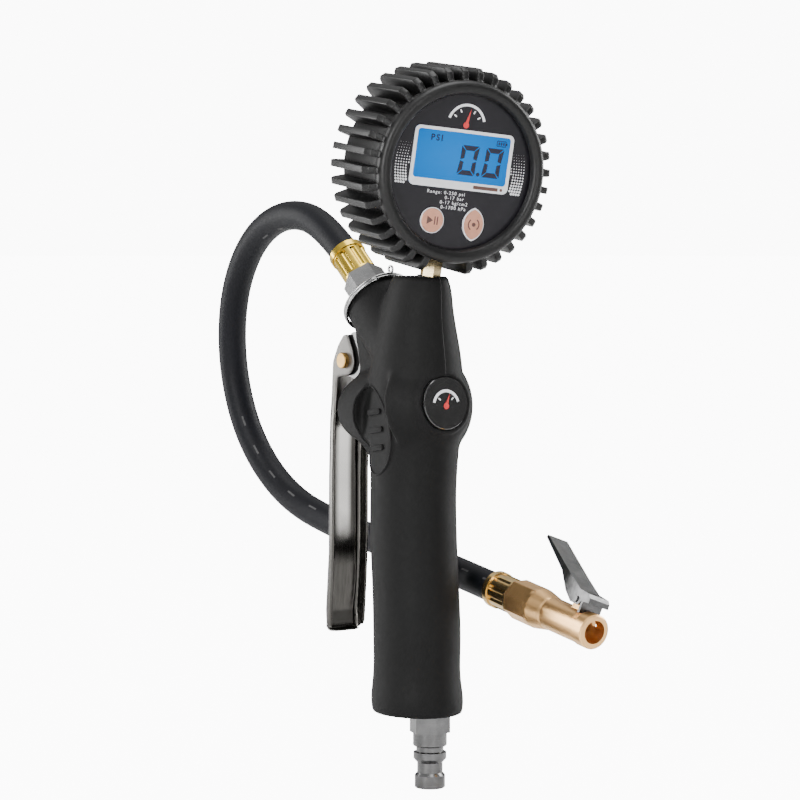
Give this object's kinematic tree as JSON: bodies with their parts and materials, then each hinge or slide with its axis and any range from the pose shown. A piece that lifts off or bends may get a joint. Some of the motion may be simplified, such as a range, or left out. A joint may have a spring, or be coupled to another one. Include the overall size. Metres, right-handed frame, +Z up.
{
  "type": "tyre inflator gun",
  "caption": "Hand-held tyre inflator gun: rubber grip with squeeze lever, swivelling digital pressure gauge, air inlet plug and short hose with a clip-on chuck.",
  "frame": {"origin": "on the inlet plug's axis, on the plain nose of the plug that enters the air line's coupling", "axes": "+Z up the handle along the plug's axis, -Y towards the side the gauge faces, +Y towards the lever and hose port, +X across the handle"},
  "size_m": [0.084, 0.2398, 0.2827],
  "materials": {
    "grip_rubber": "matte",
    "boot_rubber": "matte",
    "hose_cover": "satin",
    "seal_rubber": "satin",
    "casting_paint": "satin",
    "plug_steel": "polished",
    "lever_steel": "polished",
    "clip_steel": "brushed",
    "inner_steel": "plain",
    "bright_chrome": "polished",
    "pin_brass": "polished",
    "ferrule_brass": "crimped",
    "chuck_brass": "turned",
    "stem_brass": "turned",
    "badge_film": "gloss",
    "housing_plastic": "matte",
    "face_film": "satin",
    "display_glass": "clear over a lit display",
    "display_module": "gloss",
    "button_cap": "metallic film",
    "board_green": "solder mask",
    "cell_wrap": "gloss",
    "sensor_ceramic": "plain"
  },
  "bodies": {
    "handle": {"badge_disc": "badge_film", "chuck_body": "chuck_brass", "chuck_seal": "seal_rubber", "clip_pin": "clip_steel", "clip_spring": "inner_steel", "hose": "hose_cover", "hose_nut": "bright_chrome", "inlet_plug": "plug_steel", "inlet_seal": "seal_rubber", "lower_ferrule": "ferrule_brass", "pin_clip": "bright_chrome", "port_ring": "bright_chrome", "rod_seal": "seal_rubber", "rubber_grip": "grip_rubber", "seat_seal": "seal_rubber", "stem_seal": "seal_rubber", "trigger_pin": "pin_brass", "upper_barb": "ferrule_brass", "upper_ferrule": "ferrule_brass", "valve_body": "casting_paint", "valve_cap": "inner_steel", "valve_depressor": "inner_steel", "valve_spring": "inner_steel"},
    "trigger": {"trigger_lever": "lever_steel"},
    "plunger": {"valve_plunger": "inner_steel"},
    "gauge": {"battery_cells": "cell_wrap", "battery_cover": "housing_plastic", "battery_tray": "housing_plastic", "circuit_board": "board_green", "cover_screws": "bright_chrome", "face_plate": "face_film", "gauge_boot": "boot_rubber", "gauge_housing": "housing_plastic", "gauge_stem": "stem_brass", "lcd_module": "display_module", "lcd_window": "display_glass", "pressure_sensor": "sensor_ceramic"},
    "units_button": {"units_button": "button_cap"},
    "power_button": {"power_button": "button_cap"},
    "clip": {"clip_lever": "clip_steel"}
  },
  "joints": [
    {"name": "trigger_squeeze", "type": "hinge", "parent": "handle", "child": "trigger", "pos_m": [0, 0.0465, 0.1617], "axis": [-1, 0, 0], "range_deg": [0, 4.5], "stiffness_Nm_per_rad": 4, "springref_deg": -3.44},
    {"name": "plunger_slide", "type": "slide", "parent": "handle", "child": "plunger", "axis": [0, -0.9945, 0.1045], "range_m": [0, 0.0016], "deforming": ["valve_spring"]},
    {"name": "gauge_swivel", "type": "hinge", "parent": "handle", "child": "gauge", "pos_m": [0, 0, 0.196], "axis": [0.0849, -0.1128, 0.99], "range_deg": [-90, 90]},
    {"name": "units_press", "type": "slide", "parent": "gauge", "child": "units_button", "axis": [0.1724, 0.9802, 0.0969], "range_m": [0, 0.0006], "stiffness_N_per_m": 600, "springref_m": -0.0008},
    {"name": "power_press", "type": "slide", "parent": "gauge", "child": "power_button", "axis": [0.1724, 0.9802, 0.0969], "range_m": [0, 0.0006], "stiffness_N_per_m": 600, "springref_m": -0.0008},
    {"name": "clip_press", "type": "hinge", "parent": "handle", "child": "clip", "pos_m": [0.02853, -0.06149, 0.07395], "axis": [-0.9397, -0.0015, 0.342], "range_deg": [0, 20], "stiffness_Nm_per_rad": 0.3, "springref_deg": -11.46}
  ],
  "couplings": [
    {"joint": "plunger_slide", "follows": "trigger_squeeze", "m_per_rad": 0.0199}
  ]
}
